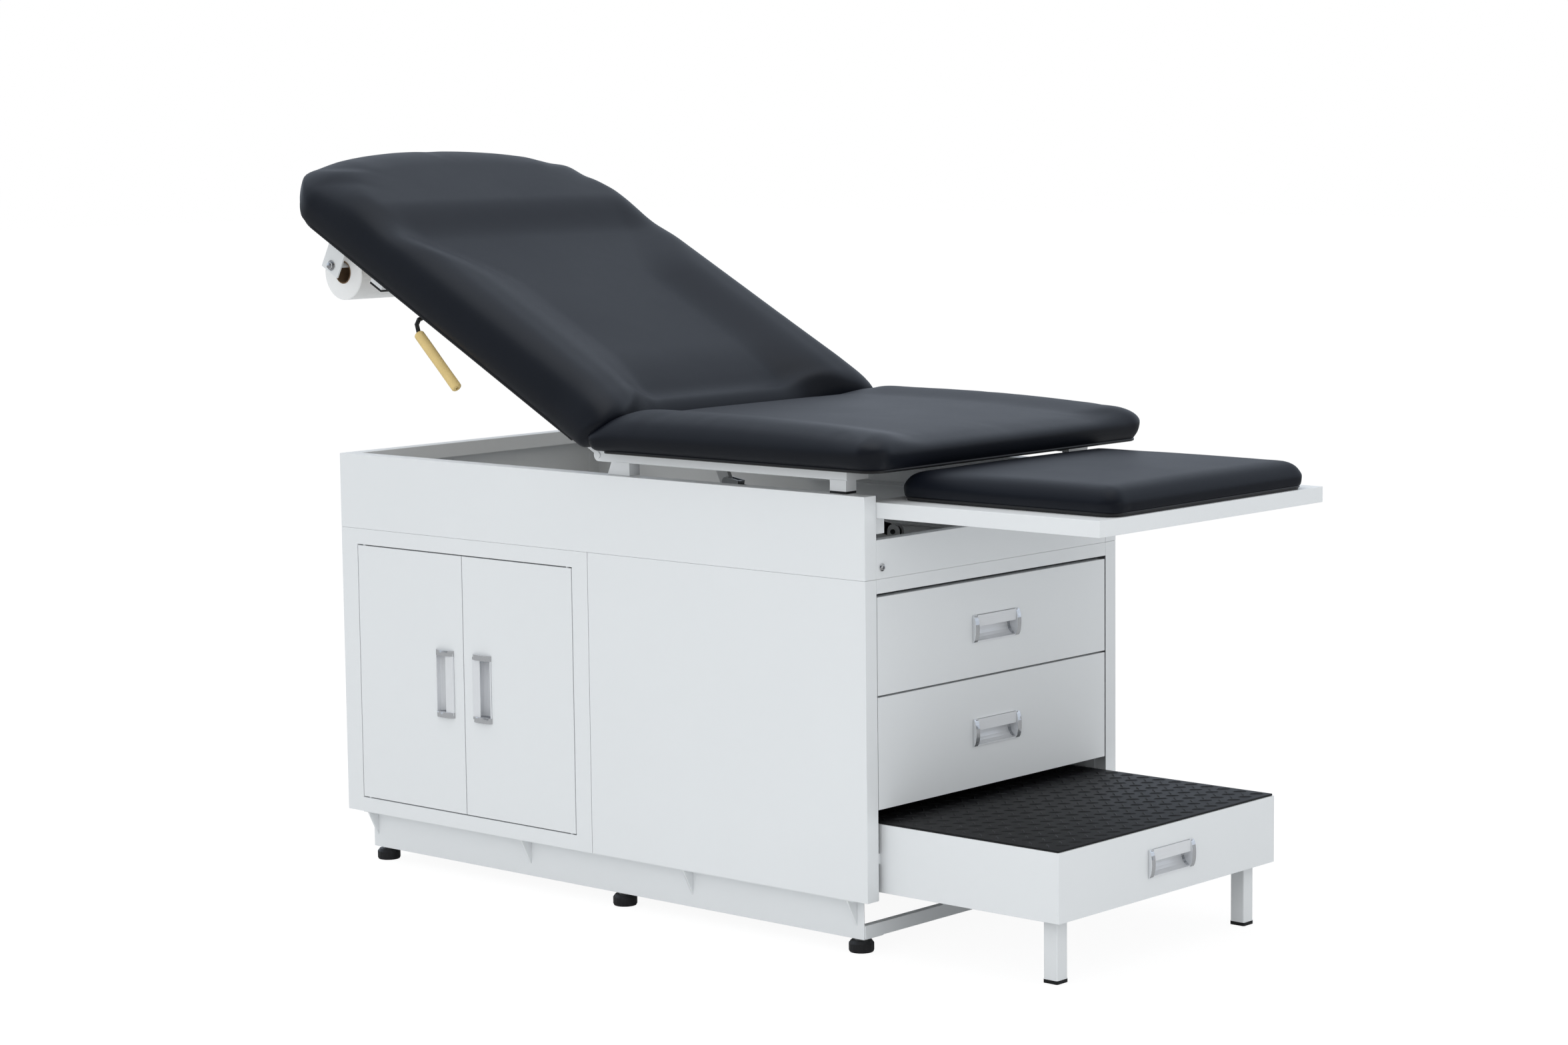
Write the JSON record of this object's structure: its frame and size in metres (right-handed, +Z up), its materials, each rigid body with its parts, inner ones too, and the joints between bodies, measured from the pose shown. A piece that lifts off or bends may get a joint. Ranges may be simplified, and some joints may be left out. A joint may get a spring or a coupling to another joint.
{
  "type": "examination table with cabinet",
  "caption": "Examination table with padded seat, tilting backrest with paper roll and sliding leg rest, on a steel cabinet with double doors, drawers and a pull-out step.",
  "frame": {"origin": "on the floor under the middle of the whole object's box in the pictured pose", "axes": "+X towards the foot end with the drawers and step, -Y towards the side with the doors, +Z up"},
  "size_m": [1.7432, 0.69, 1.2029],
  "materials": {
    "white_powder_coat": "satin",
    "charcoal_vinyl": "smooth vinyl",
    "plywood": "raw",
    "black_rubber": "matt",
    "satin_aluminium": "satin",
    "bright_steel": "polished",
    "black_steel": "satin",
    "cream_foam": "matt",
    "white_paper": "matt"
  },
  "bodies": {
    "case": {"base_skirt_near": "white_powder_coat", "base_skirt_far": "white_powder_coat", "base_front_bar": "white_powder_coat", "base_head_bar": "white_powder_coat", "side_panel_near": "white_powder_coat", "door_frame_panel": "white_powder_coat", "side_panel_far": "white_powder_coat", "head_panel": "white_powder_coat", "cabinet_floor": "white_powder_coat", "partition": "white_powder_coat", "cupboard_shelf": "white_powder_coat", "deck_panel": "white_powder_coat", "surround_near": "white_powder_coat", "surround_far": "white_powder_coat", "surround_head": "white_powder_coat", "surround_front": "white_powder_coat", "runner_frame_near": "white_powder_coat", "runner_frame_far": "white_powder_coat", "leg_guide_near": "white_powder_coat", "leg_guide_far": "white_powder_coat", "seat_rail_near": "white_powder_coat", "seat_rail_far": "white_powder_coat", "seat_cross_tube": "white_powder_coat", "seat_board": "plywood", "seat_pad": "charcoal_vinyl"},
    "foot_1": {"foot_1": "black_rubber"},
    "foot_2": {"foot_2": "black_rubber"},
    "foot_3": {"foot_3": "black_rubber"},
    "foot_4": {"foot_4": "black_rubber"},
    "foot_5": {"foot_5": "black_rubber"},
    "foot_6": {"foot_6": "black_rubber"},
    "door_left": {"door_left": "white_powder_coat", "door_left_pull": "satin_aluminium"},
    "door_right": {"door_right": "white_powder_coat", "door_right_pull": "satin_aluminium"},
    "drawer_upper": {"drawer_upper": "white_powder_coat", "drawer_upper_pull": "satin_aluminium"},
    "drawer_lower": {"drawer_lower": "white_powder_coat", "drawer_lower_pull": "satin_aluminium"},
    "step": {"step_box": "white_powder_coat", "step_mat": "black_rubber", "step_leg_near": "white_powder_coat", "step_leg_far": "white_powder_coat", "step_pull": "satin_aluminium"},
    "backrest": {"backrest_rail_near": "white_powder_coat", "backrest_rail_far": "white_powder_coat", "backrest_cross_lower": "white_powder_coat", "backrest_cross_upper": "white_powder_coat", "backrest_board": "plywood", "backrest_pad": "charcoal_vinyl", "roll_bracket_near": "white_powder_coat", "roll_bracket_far": "white_powder_coat"},
    "paper_roll": {"paper_roll": "white_paper"},
    "release_lever": {"release_lever": "black_steel", "lever_grip": "cream_foam"},
    "gas_cylinder": {"gas_cylinder": "black_steel"},
    "gas_rod": {"gas_rod": "bright_steel"},
    "leg_extension": {"leg_tray": "white_powder_coat", "leg_pad": "charcoal_vinyl"}
  },
  "joints": [
    {"name": "foot_1_screw", "type": "hinge", "parent": "case", "child": "foot_1", "pos_m": [0.41, -0.268, 0], "axis": [0, 0, 1], "continuous": true},
    {"name": "foot_2_screw", "type": "hinge", "parent": "case", "child": "foot_2", "pos_m": [0.41, 0.268, 0], "axis": [0, 0, 1], "continuous": true},
    {"name": "foot_3_screw", "type": "hinge", "parent": "case", "child": "foot_3", "pos_m": [-0.091, -0.268, 0], "axis": [0, 0, 1], "continuous": true},
    {"name": "foot_4_screw", "type": "hinge", "parent": "case", "child": "foot_4", "pos_m": [-0.091, 0.268, 0], "axis": [0, 0, 1], "continuous": true},
    {"name": "foot_5_screw", "type": "hinge", "parent": "case", "child": "foot_5", "pos_m": [-0.658, -0.268, 0], "axis": [0, 0, 1], "continuous": true},
    {"name": "foot_6_screw", "type": "hinge", "parent": "case", "child": "foot_6", "pos_m": [-0.658, 0.268, 0], "axis": [0, 0, 1], "continuous": true},
    {"name": "door_left_hinge", "type": "hinge", "parent": "case", "child": "door_left", "pos_m": [-0.657, -0.306, 0.3295], "axis": [0, 0, -1], "range_deg": [0, 100]},
    {"name": "door_right_hinge", "type": "hinge", "parent": "case", "child": "door_right", "pos_m": [-0.17, -0.306, 0.3295], "axis": [0, 0, 1], "range_deg": [0, 100]},
    {"name": "drawer_upper_slide", "type": "slide", "parent": "case", "child": "drawer_upper", "axis": [1, 0, 0], "range_m": [0, 0.36]},
    {"name": "drawer_lower_slide", "type": "slide", "parent": "case", "child": "drawer_lower", "axis": [1, 0, 0], "range_m": [0, 0.36]},
    {"name": "step_slide", "type": "slide", "parent": "case", "child": "step", "axis": [1, 0, 0], "range_m": [-0.308, 0]},
    {"name": "leg_slide", "type": "slide", "parent": "case", "child": "leg_extension", "axis": [1, 0, 0], "range_m": [-0.405, 0]},
    {"name": "backrest_hinge", "type": "hinge", "parent": "case", "child": "backrest", "pos_m": [-0.105, 0, 0.7297], "axis": [0, 1, 0], "range_deg": [-28, 32]},
    {"name": "paper_roll_turn", "type": "hinge", "parent": "backrest", "child": "paper_roll", "pos_m": [-0.77041, 0, 1.00195], "axis": [0, 1, 0], "continuous": true},
    {"name": "release_lever_hinge", "type": "hinge", "parent": "backrest", "child": "release_lever", "pos_m": [-0.4935, -0.3225, 0.93627], "axis": [0, -1, 0], "range_deg": [0, 12], "stiffness_Nm_per_rad": 3, "springref_deg": -5.73},
    {"name": "gas_cylinder_hinge", "type": "hinge", "parent": "case", "child": "gas_cylinder", "pos_m": [0.26, 0, 0.605], "axis": [0, 1, 0], "range_deg": [-1.27, 1.11]},
    {"name": "gas_rod_slide", "type": "slide", "parent": "gas_cylinder", "child": "gas_rod", "axis": [-0.988, 0, 0.1546], "range_m": [-0.03569, 0.04071]}
  ],
  "couplings": [
    {"joint": "gas_cylinder_hinge", "follows": "backrest_hinge", "ratio": -0.039},
    {"joint": "gas_rod_slide", "follows": "backrest_hinge", "m_per_rad": 0.072}
  ]
}
